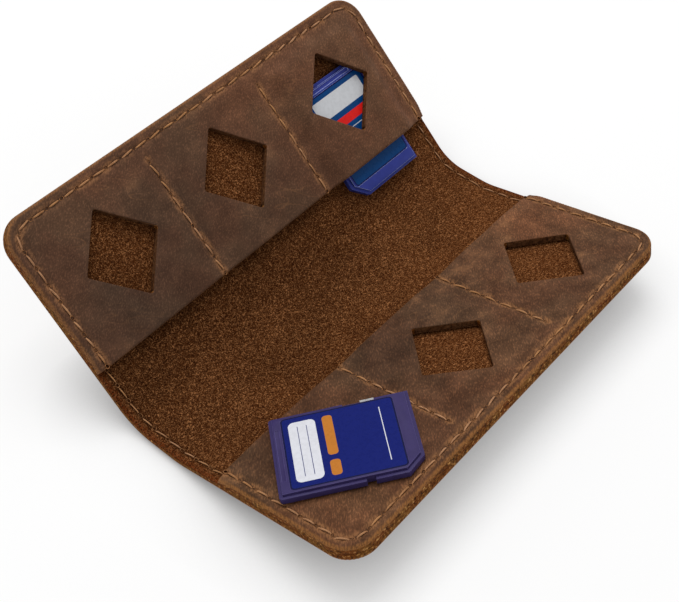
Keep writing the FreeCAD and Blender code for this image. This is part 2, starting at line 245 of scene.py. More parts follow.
def mixColour(share, a, b, blend="MIX"):
    tree = next(part for part in (share, a, b) if isinstance(part, Wire)).tree
    return addWire(tree, "ShaderNodeMix", {0: share, 6: a, 7: b}, 2, data_type="RGBA", blend_type=blend)


def shaded(colour, level):
    # a colour made darker or lighter by a level about 1
    grey = addWire(level.tree, "ShaderNodeCombineColor", dict.fromkeys(range(3), level))
    return mixColour(1.0, colour, grey, "MULTIPLY")


def objectPlace(tree):
    return addWire(tree, "ShaderNodeTexCoord", output="Object")


def attribute(tree, name):
    return addWire(tree, "ShaderNodeAttribute", output="Fac", attribute_name=name)


def cloud(place, scale, detail=2.0, roughness=0.5, distortion=0.0):
    # soft noise, about 0.5 on average
    values = {"Vector": place, "Scale": scale, "Detail": detail, "Roughness": roughness,
              "Distortion": distortion}
    return addWire(place.tree, "ShaderNodeTexNoise", values, "Fac")


def turned(place, turn, stretch):
    # places turned and then drawn out along their own axes
    values = {"Vector": place, "Rotation": turn, "Scale": stretch}
    return addWire(place.tree, "ShaderNodeMapping", values, vector_type="TEXTURE")


def contour(source, width):
    # thin curly lines where a noise crosses its middle
    return (source - 0.5).reckon("ABSOLUTE").spread(0.0, width, 1.0, 0.0)


def newMaterial(name):
    material = bpy.data.materials.new(name)
    material.use_nodes = True
    return material, material.node_tree


def paint(material, colour, roughness, specular, relief=None, metallic=0.0):
    # relief is a height, its strength and its depth in metres
    tree = material.node_tree
    values = {"Base Color": colour, "Roughness": roughness, "Specular IOR Level": specular,
              "Metallic": metallic}
    if relief:
        fine = dict(zip(("Height", "Strength", "Distance"), relief))
        values["Normal"] = addWire(tree, "ShaderNodeBump", fine)
    for key, value in values.items():
        plug(tree, value, tree.nodes["Principled BSDF"].inputs[key])
    return material


def groupFinish(name, group, look, specular, strength, depth, roughness=None):
    # a material from a shared group: what its look doesn't give is a mark on the mesh
    material, tree = newMaterial(name)
    values = {"place": objectPlace(tree), **look}
    node = addNode(tree, "ShaderNodeGroup", values, node_tree=group)
    for socket in node.inputs:
        if socket.name not in values:
            plug(tree, attribute(tree, socket.name), socket)
    gloss = Wire(node, "roughness") if roughness is None else roughness
    return paint(material, Wire(node, "colour"), gloss, specular, (Wire(node, "height"), strength, depth))


# leather finishes

hideForm = {
    # noises: scale, detail, roughness
    "broad": (34.0, 3.0, 0.5),
    "drift": (75.0, 2.0, 0.5),
    "mottle": (190.0, 5.0, 0.55),
    "patches": (240.0, 2.0, 0.5),
    "hairs": (170.0, 2.0, 0.5),
    "flecks": (3300.0, 2.0, 0.5),
    "pores": 1700.0,
    # how the hair scratches and the flecks lie: turn, stretch
    "hairRun": ((0.4, 0.3, -0.5), (5.0, 1.0, 1.0)),
    "fleckRun": ((0.2, 0.0, 0.75), (2.8, 1.0, 1.0)),
    "hairWidth": 0.012,
    # what age and a drift of hue do to the colour, from one end to the other
    "age": ((0.52, 0.62, 0.72, 1.0), (1.5, 1.38, 1.26, 1.0)),
    "hue": ((1.04, 0.98, 0.965, 1.0), (0.965, 1.015, 1.025, 1.0)),
    # how far in metres a seam is rubbed and dark, and an edge bare
    "seamRub": (0.0004, 0.0017),
    "seamShade": (0.0001, 0.0006),
    "bareEdge": (0.0001, 0.0009),
}


def makeHideGroup():
    # waxed grain leather: soft mottling, fibre flecks, hair scratches, rubbed seams and bared edges
    form = hideForm
    tree, given, made = newGroup(
        "waxedHide", "ShaderNodeTree",
        {"Vector": ["place"], "Float": ["edgeGap", "seamGap", "patina", "wear", "grain"],
         "Color": ["deep", "warm", "rubbed", "bare"]},
        {"Color": ["colour"], "Float": ["roughness", "height"]})
    place, deep, rubbed, seamGap = (given[name] for name in ("place", "deep", "rubbed", "seamGap"))
    layers = ("broad", "drift", "mottle", "patches")
    broad, drift, mottle, patches = (cloud(place, *form[layer]) for layer in layers)
    hairs = cloud(turned(place, *form["hairRun"]), *form["hairs"])
    flecks = cloud(turned(place, *form["fleckRun"]), *form["flecks"])
    pores = addWire(tree, "ShaderNodeTexVoronoi", {"Vector": place, "Scale": form["pores"]}, "Distance")
    base = mixColour(mottle.spread(0.2, 0.82), deep, given["warm"])
    base = mixColour(1.0, base, mixColour(given["patina"].spread(-1.0, 1.0), *form["age"]), "MULTIPLY")
    base = shaded(base, broad.spread(0.3, 0.7, 0.9, 1.1))
    base = mixColour(1.0, base, mixColour(drift.spread(0.38, 0.62), *form["hue"]), "MULTIPLY")
    grain = flecks.spread(0.32, 0.5, -0.2, 0.0) + flecks.spread(0.53, 0.68, 0.0, 0.6)
    base = shaded(base, grain * given["grain"] + 1.0)
    scratch = contour(hairs, form["hairWidth"]) * broad.spread(0.5, 0.62)
    rub = mottle.spread(0.54, 0.74) * broad.spread(0.48, 0.66)
    for mark, amount in ((scratch, 0.3), (rub, 0.35)):
        base = mixColour(mark * amount * given["wear"], base, rubbed)
    shoulder = seamGap.spread(*form["seamRub"], 1.0, 0.0) * flecks.spread(0.36, 0.6, 0.2, 0.75)
    base = mixColour(shoulder * patches.spread(0.42, 0.56, 0.15, 1.0), base, rubbed)
    base = mixColour(seamGap.spread(*form["seamShade"], 0.5, 0.0), base, deep, "MULTIPLY")
    bared = given["edgeGap"].spread(*form["bareEdge"], 1.0, 0.0) * flecks.spread(0.36, 0.6, 0.3, 1.0)
    plug(tree, mixColour(bared, base, given["bare"]), made["colour"])
    plug(tree, mottle.spread(0.3, 0.7, 0.86, 0.72), made["roughness"])
    plug(tree, pores * 0.35 + flecks * 0.6 + mottle * 0.7 - scratch * 0.25, made["height"])
    return tree


suedeForm = {
    # noises: scale, detail, roughness, distortion
    "nap": (2800.0, 2.0, 0.5, 0.8),
    "curls": (1800.0, 0.0, 0.5, 1.0),
    "drift": (60.0, 4.0, 0.55, 0.0),
    "curlWidth": 0.085,
    # how far in metres a seam is dark and an edge bare
    "seamShade": (0.0002, 0.0009),
    "bareEdge": (0.0002, 0.002),
}


def makeSuedeGroup():
    # the flesh side: a short curly nap over darker hollows
    form = suedeForm
    tree, given, made = newGroup(
        "suedeNap", "ShaderNodeTree",
        {"Vector": ["place"], "Float": ["edgeGap", "seamGap", "paintedLightAndShade"],
         "Color": ["deep", "light", "fibre", "bare"]},
        {"Color": ["colour"], "Float": ["height"]})
    deep, paintedLightAndShade = given["deep"], given["paintedLightAndShade"]
    nap, curls, drift = (cloud(given["place"], *form[layer]) for layer in ("nap", "curls", "drift"))
    fibres = contour(curls, form["curlWidth"]) * nap.spread(0.34, 0.56, 0.15, 0.85)
    # painted light and shade: higher values light the nap and thin its bright fibres, lower values darken it
    fibres *= paintedLightAndShade.spread(-0.3, 0.4, 1.0, 0.65)
    base = mixColour(nap.spread(0.3, 0.68), deep, given["light"])
    base = mixColour(fibres, base, given["fibre"])
    base = shaded(base, drift.spread(0.3, 0.7, 0.88, 1.12))
    base = shaded(base, paintedLightAndShade.spread(-1.0, 1.0, 0.65, 1.45))
    base = mixColour(given["seamGap"].spread(*form["seamShade"], 0.45, 0.0), base, deep, "MULTIPLY")
    bared = given["edgeGap"].spread(*form["bareEdge"], 0.8, 0.0) * nap.spread(0.42, 0.56, 0.0, 0.9)
    plug(tree, mixColour(bared, base, given["bare"]), made["colour"])
    plug(tree, nap + fibres * 0.4, made["height"])
    return tree


# noises of a cut edge: scale, detail, roughness
edgeForm = {"fibres": (1300.0, 4.0, 0.68), "broad": (210.0, 3.0, 0.6)}


def makeEdgeGroup():
    # a cut edge, rubbed round: dark and bright fibres in a brown body
    tree, given, made = newGroup(
        "cutFibres", "ShaderNodeTree", {"Vector": ["place"], "Color": ["dark", "bronze", "rust", "fleck"]},
        {"Color": ["colour"], "Float": ["height"]})
    fibres, broad = (cloud(given["place"], *edgeForm[layer]) for layer in ("fibres", "broad"))
    base = mixColour(broad.spread(0.36, 0.64), given["rust"], given["bronze"])
    base = mixColour(fibres.spread(0.36, 0.52, 0.9, 0.0), base, given["dark"])
    base = mixColour(fibres.spread(0.55, 0.68, 0.0, 0.9), base, given["fleck"])
    plug(tree, base, made["colour"])
    plug(tree, fibres, made["height"])
    return tree


hideGroup = makeHideGroup()
suedeGroup = makeSuedeGroup()
edgeGroup = makeEdgeGroup()

# colours as seen on a screen
hideLook = {
    "rightHide": {"deep": (68, 44, 28), "warm": (100, 67, 44), "rubbed": (156, 108, 68),
                  "bare": (150, 99, 52), "wear": 0.7, "grain": 1.35},
    "leftHide": {"deep": (73, 50, 36), "warm": (92, 64, 46), "rubbed": (158, 110, 72),
                 "bare": (138, 92, 53), "wear": 0.6, "grain": 1.05},
    "coverHide": {"deep": (70, 45, 28), "warm": (104, 69, 44), "rubbed": (152, 105, 69),
                  "bare": (150, 97, 50), "wear": 1.0, "grain": 1.5},
}
suedeLook = {"deep": (44, 19, 7), "light": (88, 50, 24), "fibre": (186, 127, 80), "bare": (112, 52, 22)}
edgeLook = {
    "cutEdge": {"dark": (44, 23, 8), "bronze": (122, 79, 33), "rust": (116, 64, 24), "fleck": (212, 158, 94)},
    # the window walls get a darker copy of the cut edge colours: painted shade inside the windows
    "paintedShadeWindowWall": {"dark": (50, 28, 14), "bronze": (98, 65, 40), "rust": (90, 56, 32),
                   "fleck": (124, 85, 54)},
}
threadLook = {"dark": (122, 78, 46), "light": (204, 154, 114), "golden": (196, 142, 92)}
# the hole's dark and pit colours are painted shade inside the awl hole
holeLook = {"ring": (176, 124, 82), "hide": (112, 76, 49), "dark": (52, 20, 6), "pit": (22, 8, 3)}


def makeThread():
    # waxed two-ply thread, its twist drawn along the stitch
    material, tree = newMaterial("waxedThread")
    look, place = tinted(threadLook), objectPlace(tree)
    plies = {"Vector": addWire(tree, "ShaderNodeUVMap", uv_map="twist"), "Scale": 1.6, "Distortion": 0.6,
             "Detail": 1.0}
    bands = addWire(tree, "ShaderNodeTexWave", plies, "Fac", wave_type="BANDS", bands_direction="DIAGONAL")
    mask = bands * 0.35 + cloud(place, 420.0, 4.0, 0.65) * 0.65
    light = mixColour(cloud(place, 34.0).spread(0.4, 0.6), look["light"], look["golden"])
    colour = mixColour(mask.spread(0.25, 0.7), look["dark"], light)
    return paint(material, colour, roughness=0.6, specular=0.15, relief=(mask, 0.5, 0.0002))


def makeHole():
    # an awl hole: a rubbed ring round a pit painted near-black, painted shade inside the hole
    material, tree = newMaterial("stitchHole")
    look = tinted(holeLook)
    holeNoise = cloud(objectPlace(tree), 1500.0)
    pit = mixColour(holeNoise, look["pit"], look["dark"])
    ring = mixColour(holeNoise.spread(0.4, 0.6), look["hide"], look["ring"])
    colour = mixColour(attribute(tree, "hollow").spread(0.3, 0.75), ring, pit)
    return paint(material, colour, roughness=0.9, specular=0.0)


hides = {name: groupFinish(name, hideGroup, tinted(look), specular=0.16, strength=0.4, depth=0.00022)
         for name, look in hideLook.items()}
edges = {name: groupFinish(name, edgeGroup, tinted(look), specular=0.06, strength=0.8, depth=0.0005,
                           roughness=0.8)
         for name, look in edgeLook.items()}
suede = groupFinish("fleshSuede", suedeGroup, tinted(suedeLook), specular=0.0, strength=0.7, depth=0.0004,
                    roughness=0.95)
thread = makeThread()
stitchHole = makeHole()
print("leather finishes made")


# sheets of leather

def linePoints(a, b, step):
    count = max(1, round(math.dist(a, b) / step))
    return [(a[0] + (b[0] - a[0]) * i / count, a[1] + (b[1] - a[1]) * i / count) for i in range(count)]


def arcPoints(centre, radius, fromTurn, toTurn, step):
    count = max(4, round(radius * abs(toTurn - fromTurn) / step))
    turns = [fromTurn + (toTurn - fromTurn) * i / count for i in range(count)]
    return [(centre[0] + radius * math.cos(t), centre[1] + radius * math.sin(t)) for t in turns]


def edgePath(foot, reach, gap, step, closed=False):
    # up one end of a sheet, round its two outer corners and down the other end, drawn in by a gap
    half = halfLength - gap
    top = reach - gap
    radius = case["corner"] - gap
    lift = top - radius
    points = linePoints((-half, foot), (-half, lift), step)
    points += arcPoints((-half + radius, lift), radius, math.pi, math.pi / 2, step)
    points += linePoints((-half + radius, top), (half - radius, top), step)
    points += arcPoints((half - radius, lift), radius, math.pi / 2, 0, step)
    points += linePoints((half, lift), (half, foot), step) + [(half, foot)]
    return points + linePoints(points[-1], points[0], step)[1:] if closed else points


def roundedLoop(centres, turns, radius, step):
    # once round four eased corners, given by their centres and the way each side faces
    points = []
    for i, centre in enumerate(centres):
        out = (radius * math.cos(turns[i + 1]), radius * math.sin(turns[i + 1]))
        points += arcPoints(centre, radius, turns[i], turns[i + 1], step)
        points += linePoints(np.add(centre, out), np.add(centres[(i + 1) % 4], out), step)
    return points


def windowCore():
    # half lengths of the diamond that, let out by the ease, is a window
    along, across = case["windowLength"] / 2, case["windowDepth"] / 2
    share = 1 - case["windowEase"] * math.hypot(1 / along, 1 / across)
    return along * share, across * share


def windowPath(middle, gap, step):
    # round a diamond window with eased corners, let out by a gap
    along, across = windowCore()
    back = case["windowSetback"]
    lean = math.atan2(along, across)
    turns = [-lean, lean, math.pi - lean, math.pi + lean, 2 * math.pi - lean]
    tips = [(middle + along, back), (middle, back + across), (middle - along, back), (middle, back - across)]
    return roundedLoop(tips, turns, case["windowEase"] + gap, step)


def edgeDistance(x, y, reach):
    # how far in from the ends and the outer edge of a sheet
    fromEnd = halfLength - np.abs(x)
    fromOuter = reach - y
    radius = case["corner"]
    inCorner = (fromEnd < radius) & (fromOuter < radius)
    rounded = radius - np.hypot(radius - fromEnd, radius - fromOuter)
    return np.where(inCorner, rounded, np.minimum(fromEnd, fromOuter))


def windowDistance(x, y):
    # how far out from the nearest window's edge
    along, across = windowCore()
    gaps = []
    for middle in pocketMiddles:
        px, py = np.abs(x - middle), np.abs(y - case["windowSetback"])
        share = np.clip((along * (along - px) + across * py) / (along ** 2 + across ** 2), 0, 1)
        away = np.hypot(px - along * (1 - share), py - across * share)
        gaps.append(np.where(px / along + py / across < 1, -away, away) - case["windowEase"])
    return np.min(gaps, axis=0)


def dividerDistance(x, y):
    beyond = np.maximum(y - dividerEnd, 0)
    return np.min([np.hypot(np.abs(x - place), beyond) for place in dividerPlaces], axis=0)


def drop(gap, radius):
    # how much a rounded edge falls away at a distance in from the cut
    inside = np.clip(radius - gap, 0, radius)
    return radius - np.sqrt(radius * radius - inside * inside)


def roundGaps(radius):
    return [radius * (1 - math.cos(math.radians(turn))) for turn in (22.5, 45, 67.5, 90)]


def grid(reach, step):
    # points of even triangles, at most a step apart
    rows = int(reach / (step * math.sin(math.pi / 3)))
    places = np.arange(-halfLength + step, halfLength, step)
    return np.array([(x + step / 2 * (row % 2), row * reach / rows)
                     for row in range(1, rows) for x in places])


def triangulate(loops, rings, reach, step):
    # corners and triangles of a flat sheet with the loops as its edges
    fixed = [point for loop in loops for point in loop]
    links, first = [], 0
    for loop in loops:
        links += [(first + i, first + (i + 1) % len(loop)) for i in range(len(loop))]
        first += len(loop)
    known = np.array(fixed + [point for ring in rings for point in ring])
    kept = [known]
    spare = grid(reach, step)
    for chunk in np.array_split(spare, max(1, len(spare) // 400)):
        apart = chunk[:, None] - known[None]
        gaps = np.hypot(apart[..., 0], apart[..., 1]).min(axis=1)
        kept.append(chunk[gaps > step * 0.55])
    result = geometry.delaunay_2d_cdt([Vector(p) for p in np.vstack(kept)], links, [], 0, 0.0001)
    corners = np.array([tuple(p) for p in result[0]])
    triangles = np.array([f for f in result[2] if len(f) == 3])
    a, b, c = (corners[triangles[:, i]] for i in range(3))
    area = (b[:, 0] - a[:, 0]) * (c[:, 1] - a[:, 1]) - (b[:, 1] - a[:, 1]) * (c[:, 0] - a[:, 0])
    triangles[area < 0] = triangles[area < 0][:, ::-1]
    x, y = corners[triangles].mean(axis=1).T
    return corners, triangles[(np.abs(area) > 1e-6) & (edgeDistance(x, y, reach) > 0) & (y > 0)]


def solidSheet(name, triangles, top, bottom, marks, finishes, sharp=None, inner=None):
    # a closed sheet: finishes are for its top, its bottom, its cut edge and its inner cuts
    used = np.unique(triangles)
    count = len(used)
    order = np.full(len(top), -1)
    order[used] = np.arange(count)
    triangles = order[triangles]
    sides = np.sort(np.vstack([triangles[:, [0, 1]], triangles[:, [1, 2]], triangles[:, [2, 0]]]), axis=1)
    rims, uses = np.unique(sides, axis=0, return_counts=True)
    rim = {tuple(pair) for pair in rims[uses == 1]}
    walls = []
    for triangle in triangles:
        for i in range(3):
            a, b = int(triangle[i]), int(triangle[(i + 1) % 3])
            if (min(a, b), max(a, b)) in rim:
                walls.append((a + count, b + count, b, a))
    faces = [tuple(map(int, t)) for t in triangles]
    faces += [tuple(int(i) + count for i in t[::-1]) for t in triangles]
    mesh = bpy.data.meshes.new(name)
    mesh.from_pydata(np.vstack([top[used], bottom[used]]) * mm, [], faces + walls)
    cuts = [3 if inner is not None and inner[used[wall[2]]] else 2 for wall in walls]
    mesh.polygons.foreach_set("material_index", [0] * len(triangles) + [1] * len(triangles) + cuts)
    mesh.polygons.foreach_set("use_smooth", [True] * len(mesh.polygons))
    for label, mark in marks.items():
        layer = mesh.attributes.new(label, "FLOAT", "POINT")
        layer.data.foreach_set("value", np.tile(mark[used], 2).astype(np.float32))
    if sharp is not None:
        flags = np.tile(sharp[used], 2)
        for edge in mesh.edges:
            edge.use_edge_sharp = bool(flags[edge.vertices[0]] and flags[edge.vertices[1]])
    for finish in finishes:
        mesh.materials.append(finish)
    mesh.update()
    return addObject(name, mesh)


panelForm = {
    # mesh: spacing, and extra rows beside the edge, the seams and the windows
    "step": 1.15,
    "ring": 0.8,
    "edgeRow": 1.1,
    "seamRows": (-1.0, -0.55, -0.25, 0, 0.25, 0.55, 1.0),
    "seamFoot": 1.2,
    "seamPast": 1,
    "windowRow": 0.7,
    "edgeRound": 0.7,
    "mouthRound": 0.3,
    "windowRound": 0.2,
    "seatRound": 0.06,
    "groove": 0.3,
    "grooveWidth": 0.6,
    "wave": 0.07,
    "waveSize": 9.0,
    "waveShift": 3.0,
    # a stretched pocket loses its waves: from which lift, over how much, and which share of them
    "taut": (1.2, 0.8, 0.8),
    "seat": 0.03,
    "land": 1.5,
    # how each pocket stands up, from one end of the flap's own axis to the other
    "lift": {"right": (0.42, 0.42, 0.42), "left": (0.42, 0.42, 2.27)},
    "ramp": {"right": (9.0, 9.0, 9.0), "left": (9.0, 9.0, 5.2)},
    "full": {"right": (10.0, 10.0, 10.0), "left": (10.0, 10.0, 31.4)},
    "end": {"right": (34.5, 34.5, 34.5), "left": (34.5, 34.5, 36.0)},
    # the last stitch pinches the two ends of the mouth down
    "pinch": 0.8,
    "pinchSize": 2.4,
    # how far in the bared rim starts at the mouth and the windows
    "mouthRim": 0.5,
    "windowRim": 0.75,
    # paler and darker patches of age: place along and across the flap, size, amount
    "patina": {
        "right": ((-50, 6, 14, 0.65), (-46, 26, 12, -0.1), (54, 32, 16, 0.5), (12, 7, 11, -0.4),
                  (-8, 8, 12, -0.3), (2, 34, 10, 0.25), (52, 6, 12, -0.3)),
        "left": ((48, 18, 24, 0.95), (57, 36, 13, 0.6), (14, 37, 14, 0.6), (-40, 39, 14, 0.35),
                 (-57, 20, 6, 0.25), (-46, 6, 12, -0.2), (-40, 18, 16, -0.25), (50, 38, 10, 0.5)),
    },
}


def patinaAt(patches, x, y):
    age = np.zeros_like(x)
    for along, across, size, amount in patches:
        age += amount * np.exp(-((x - along) ** 2 + (y - across) ** 2) / size ** 2)
    return np.clip(age, -1, 1)


def pocketLift(side, x, y):
    rise = np.zeros_like(x)
    for i, middle in enumerate(pocketMiddles):
        lift, ramp, full, end = (panelForm[key][side][i] for key in ("lift", "ramp", "full", "end"))
        fromSeam = case["pitch"] / 2 - panelForm["land"] - np.abs(x - middle)
        rise += lift * (smooth(fromSeam / ramp) * smooth((end - y) / (end - full)))
    return rise


def makePanel(side):
    flap = flaps[side]
    form = panelForm
    depth, step = case["depth"], form["ring"]
    loops = [edgePath(0, depth, 0, step, closed=True)]
    rings = [edgePath(gap, depth, gap, step, closed=True)
             for gap in roundGaps(form["edgeRound"]) + [form["edgeRow"]]]
    foot, past = form["seamFoot"], dividerEnd + form["seamPast"]
    for aside in form["seamRows"]:
        rings.append(edgePath(foot, depth, case["seamInset"] + aside, step))
        rings += [linePoints((place + aside, foot), (place + aside, past), step) for place in dividerPlaces]
    for middle in pocketMiddles:
        loops.append(windowPath(middle, 0, step))
        gaps = roundGaps(form["windowRound"]) + [form["windowRow"]]
        rings += [windowPath(middle, gap, step) for gap in gaps]
    corners, triangles = triangulate(loops, rings, depth, form["step"])
    triangles = triangles[windowDistance(*corners[triangles].mean(axis=1).T) > 0]
    x, y = corners.T
    edge = edgeDistance(x, y, depth)
    window = np.maximum(windowDistance(x, y), 0)
    seam = np.minimum(np.abs(edge - case["seamInset"]), dividerDistance(x, y))
    lift = pocketLift(side, x, y)
    tautFrom, tautOver, tautShare = form["taut"]
    wave = waves(onPanel(flap, x, y, 0 * x), form["waveSize"], form["waveShift"]) * form["wave"]
    wave *= 1 - smooth((lift - tautFrom) / tautOver) * tautShare
    fallen = drop(edge, form["edgeRound"]) + drop(y, form["mouthRound"]) + drop(window, form["windowRound"])
    groove = dent(seam, form["groove"], form["grooveWidth"])
    pinch = dent(np.hypot(halfLength - np.abs(x), y), form["pinch"], form["pinchSize"])
    top = case["panel"] + lift + wave - groove - fallen - pinch
    under = drop(np.minimum(edge, y), form["seatRound"]) + drop(window, form["windowRound"] / 2)
    bottom = form["seat"] + lift + under
    rim = np.min([edge, y + form["mouthRim"], window + form["windowRim"]], axis=0)
    marks = {"edgeGap": rim * mm, "seamGap": seam * mm, "patina": patinaAt(form["patina"][side], x, y)}
    # the window walls take the darker copy of the cut edge, painted shade
    finishes = (hides[side + "Hide"], suede, edges["cutEdge"], edges["paintedShadeWindowWall"])
    return solidSheet(side + "PocketPanel", triangles, onPanel(flap, x, y, top), onPanel(flap, x, y, bottom),
                      marks, finishes, inner=window < 1e-3)


coverForm = {
    # mesh: spacing, and extra rows beside the edge and the seams
    "step": 1.3,
    "ring": 0.9,
    "edgeRow": 1.1,
    "seamRows": (-0.9, -0.5, -0.2, 0.2, 0.5, 0.9),
    "dividerRows": (-0.9, -0.45, 0, 0.45, 0.9),
    "seamPast": 1,
    "noSeam": 9,
    "edgeRound": 0.5,
    "outerRound": 0.7,
    "seatRound": 0.06,
    "groove": 0.22,
    "grooveWidth": 0.8,
    "wave": 0.03,
    "waveSize": 7.0,
    "waveShift": 11.0,
    "bendFrom": 1.0,
    "bendPast": {"right": 4.0, "left": 1.6},
    # painted light and shade on the lining: over the spine, from its near end (darker) to its far end (lighter),
    # what each pocket's mouth adds to that (lighter towards the right flap, darker towards the raised left flap),
    # and in the pockets, which start a little before the mouth
    "spinePaintedLightAndShade": (-0.3, 0.25),
    "mouthPaintedLightAndShade": {"right": 0.4, "left": -0.15},
    "pocketPaintedLightAndShade": {"right": 0.4, "left": 0.1},
    "pocketStart": 0.5,
}


def makeCover(side):
    flap = flaps[side]
    form = coverForm
    inset, reach, mouth, step = case["seamInset"], flap["reach"], flap["mouthRun"], form["ring"]
    past = reach - case["dividerStop"] + form["seamPast"]
    gaps = roundGaps(form["outerRound"]) + [form["edgeRow"]] + [inset + aside for aside in form["seamRows"]]
    rings = [edgePath(0, reach, gap, step) for gap in gaps]
    rings += [linePoints((place + aside, mouth), (place + aside, past), step)
              for place in dividerPlaces for aside in form["dividerRows"]]
    corners, triangles = triangulate([edgePath(0, reach, 0, step, closed=True)], rings, reach, form["step"])
    x, run = corners.T
    edge = edgeDistance(x, run, reach)
    divider = np.where(run > mouth, dividerDistance(x, run - mouth), form["noSeam"])
    seam = np.minimum(np.abs(edge - inset), divider)
    wave = waves(onCover(flap, x, run, 0 * x), form["waveSize"], form["waveShift"]) * form["wave"]
    covered = smooth(run - mouth + form["pocketStart"])
    groove = dent(seam, form["groove"], form["grooveWidth"])
    inner = wave - groove - drop(edge, form["edgeRound"] + (form["seatRound"] - form["edgeRound"]) * covered)
    outer = -case["cover"] + groove + drop(edge, form["outerRound"])
    # painted light and shade on the lining: darker at the near end, lighter at the far end, lighter towards the
    # right mouth, darker towards the left, and a set level for each side's pockets
    near, far = form["spinePaintedLightAndShade"]
    paintedLightAndShade = near + (far - near) * smooth(flap["along"].x * x / case["length"] * 2)
    paintedLightAndShade += form["mouthPaintedLightAndShade"][side] * smooth(run / mouth)
    paintedLightAndShade += (form["pocketPaintedLightAndShade"][side] - paintedLightAndShade) * covered
    marks = {"edgeGap": edge * mm, "seamGap": seam * mm, "patina": 0 * x, "paintedLightAndShade": paintedLightAndShade}
    return solidSheet(side + "Cover", triangles, onCover(flap, x, run, inner), onCover(flap, x, run, outer),
                      marks, (suede, hides["coverHide"], edges["cutEdge"]), sharp=run < 1e-6)


def bendOverFold(piece, side):
    # the piece's place is baked into its mesh; where the bend between the spine and its flap starts and ends is
    # found but not used, so the piece is not bent
    flap = flaps[side]
    start = onCover(flap, 0.0, coverForm["bendFrom"], 0.0) * mm
    end = onCover(flap, 0.0, flap["bendEnd"] + coverForm["bendPast"][side], 0.0) * mm
    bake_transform(piece)


panels = {side: makePanel(side) for side in flaps}
covers = {side: makeCover(side) for side in flaps}
sheets = [*panels.values(), *covers.values()]
print("leather sheets made:", {piece.name: len(piece.data.polygons) for piece in sheets})


# stitching

seamForm = {
    "pitch": 4.5,
    "gap": 0.95,
    "width": 0.5,
    "spineWidth": 0.34,
    "holeWidth": 1.4,
    # degrees
    "slant": 4.0,
    "sway": 7.0,
    # how much longer or shorter a stitch may be, as a share
    "uneven": 0.14,
    # where a run starts at the mouth, and how close its points are
    "foot": 0.4,
    "step": 0.5,
    "spineStep": 0.4,
}
stitchForm = {"rings": 9, "around": 8, "rise": 0.2, "dive": 1.0, "diveCurve": 3.6, "slim": 0.4,
              "flat": 0.85, "twists": 5}
# rims of a hole from the outside in: radius, height, and 1 where it is pit
holeForm = {"around": 8, "oval": 0.75, "pit": -0.4, "base": -0.6,
            "rims": ((0.5, -0.14, 0.0), (0.42, 0.0, 0.0), (0.28, -0.08, 1.0))}


def spokes(count):
    return [2 * math.pi * k / count for k in range(count)]


def stitchShape():
    # one stitch of unit length and width: an arch of thread whose ends dive into the leather
    form = stitchForm
    rings, around = form["rings"], form["around"]
    shape = bmesh.new()
    twist = shape.loops.layers.uv.new("twist")
    rows = []
    for i in range(rings):
        t = -1 + 2 * i / (rings - 1)
        rise = form["rise"] - form["dive"] * abs(t) ** form["diveCurve"]
        fat = 0.5 * (1 - form["slim"] * t * t)
        rows.append([shape.verts.new((t / 2, fat * math.cos(a), rise + fat * form["flat"] * math.sin(a)))
                     for a in spokes(around)])
    for i in range(rings - 1):
        for k in range(around):
            n = (k + 1) % around
            face = shape.faces.new((rows[i][k], rows[i + 1][k], rows[i + 1][n], rows[i][n]))
            for loop, (u, v) in zip(face.loops, ((i, k), (i + 1, k), (i + 1, k + 1), (i, k + 1))):
                loop[twist].uv = (u / (rings - 1) * form["twists"], v / around)
    shape.faces.new(rows[0])
    shape.faces.new(rows[-1][::-1])
    bmesh.ops.recalc_face_normals(shape, faces=shape.faces)
    for face in shape.faces:
        face.smooth = True
    return bpy.data.objects.new("stitchShape", meshFrom(shape, "stitchShape"))


def holeShape():
    # a small rubbed ring round a pit where the thread goes in; the pit is marked to be painted dark as painted
    # shade
    form = holeForm
    shape = bmesh.new()
    hollow = shape.verts.layers.float.new("hollow")
    rims = []
    for radius, z, deep in form["rims"]:
        rims.append([shape.verts.new((radius * math.cos(a), radius * form["oval"] * math.sin(a), z))
                     for a in spokes(form["around"])])
        for vert in rims[-1]:
            vert[hollow] = deep
    pit, base = (shape.verts.new((0, 0, form[key])) for key in ("pit", "base"))
    pit[hollow] = 1.0
    for k in range(form["around"]):
        n = (k + 1) % form["around"]
        for outer, inner in zip(rims, rims[1:]):
            shape.faces.new((outer[k], outer[n], inner[n], inner[k]))
        shape.faces.new((rims[-1][k], rims[-1][n], pit))
        shape.faces.new((rims[0][n], rims[0][k], base))
    return bpy.data.objects.new("holeShape", meshFrom(shape, "holeShape"))


def chance(most, seed):
    # a different value for each point, between most below 0 and most above it
    node = addNode(most.tree, "FunctionNodeRandomValue", {"Seed": seed}, data_type="FLOAT")
    low, high = [socket for socket in node.inputs if socket.type == "VALUE"][:2]
    plug(most.tree, most * -1.0, low)
    plug(most.tree, most, high)
    return Wire(node, [socket.type for socket in node.outputs].index("VALUE"))


